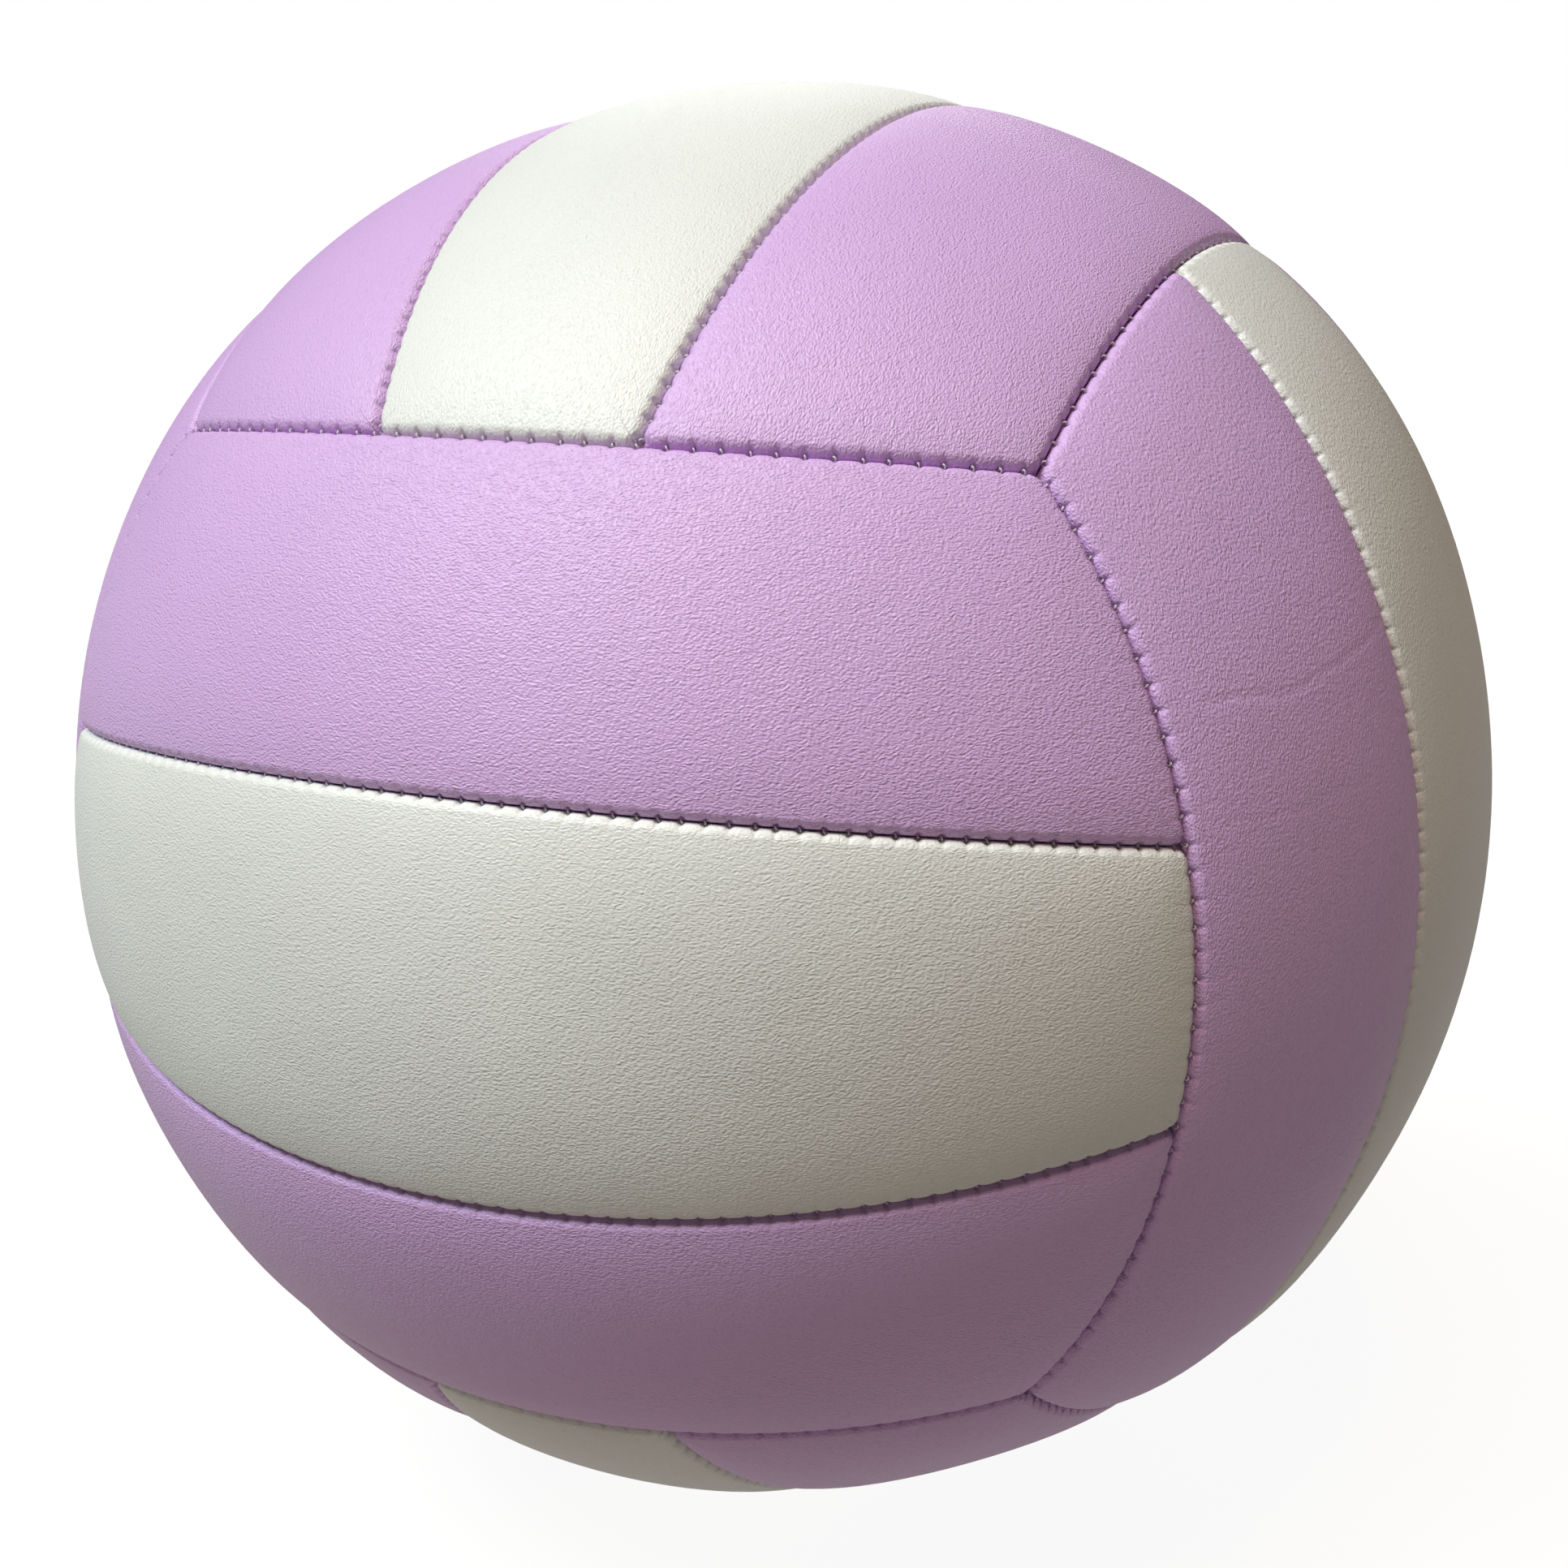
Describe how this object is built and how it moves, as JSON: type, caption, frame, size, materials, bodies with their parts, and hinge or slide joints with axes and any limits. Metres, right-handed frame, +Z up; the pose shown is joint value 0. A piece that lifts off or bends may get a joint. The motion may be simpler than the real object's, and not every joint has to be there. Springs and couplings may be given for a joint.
{
  "type": "volleyball",
  "caption": "Inflated round ball with a sewn cover of padded lilac and white strips in crossing groups, a rubber bladder and a needle valve.",
  "frame": {"origin": "centre of the ball", "axes": "+Z up, +Y out through the valve at the back, the strips of the front and back groups along X"},
  "size_m": [0.2094, 0.2094, 0.2094],
  "materials": {
    "lilac_leather": "satin grained",
    "white_leather": "satin grained",
    "foam": "matt",
    "backing_cloth": "woven",
    "seam_thread": "twisted",
    "bladder_rubber": "smooth",
    "valve_rubber": "smooth",
    "plug_rubber": "smooth"
  },
  "bodies": {
    "root": {"front_upper_skin": "lilac_leather", "front_middle_skin": "white_leather", "front_lower_skin": "lilac_leather", "back_upper_skin": "lilac_leather", "back_middle_skin": "white_leather", "back_lower_skin": "lilac_leather", "right_front_skin": "lilac_leather", "right_middle_skin": "white_leather", "right_back_skin": "lilac_leather", "left_back_skin": "lilac_leather", "left_middle_skin": "white_leather", "left_front_skin": "lilac_leather", "top_left_skin": "lilac_leather", "top_middle_skin": "white_leather", "top_right_skin": "lilac_leather", "bottom_right_skin": "lilac_leather", "bottom_middle_skin": "white_leather", "bottom_left_skin": "lilac_leather", "front_upper_foam": "foam", "front_middle_foam": "foam", "front_lower_foam": "foam", "back_upper_foam": "foam", "back_middle_foam": "foam", "back_lower_foam": "foam", "right_front_foam": "foam", "right_middle_foam": "foam", "right_back_foam": "foam", "left_back_foam": "foam", "left_middle_foam": "foam", "left_front_foam": "foam", "top_left_foam": "foam", "top_middle_foam": "foam", "top_right_foam": "foam", "bottom_right_foam": "foam", "bottom_middle_foam": "foam", "bottom_left_foam": "foam", "front_upper_backing": "backing_cloth", "front_middle_backing": "backing_cloth", "front_lower_backing": "backing_cloth", "back_upper_backing": "backing_cloth", "back_middle_backing": "backing_cloth", "back_lower_backing": "backing_cloth", "right_front_backing": "backing_cloth", "right_middle_backing": "backing_cloth", "right_back_backing": "backing_cloth", "left_back_backing": "backing_cloth", "left_middle_backing": "backing_cloth", "left_front_backing": "backing_cloth", "top_left_backing": "backing_cloth", "top_middle_backing": "backing_cloth", "top_right_backing": "backing_cloth", "bottom_right_backing": "backing_cloth", "bottom_middle_backing": "backing_cloth", "bottom_left_backing": "backing_cloth", "edge_seam_thread": "seam_thread", "strip_seam_thread": "seam_thread", "bladder": "bladder_rubber", "valve_housing": "valve_rubber", "valve_plug": "plug_rubber", "valve_patch": "backing_cloth"}
  },
  "joints": []
}
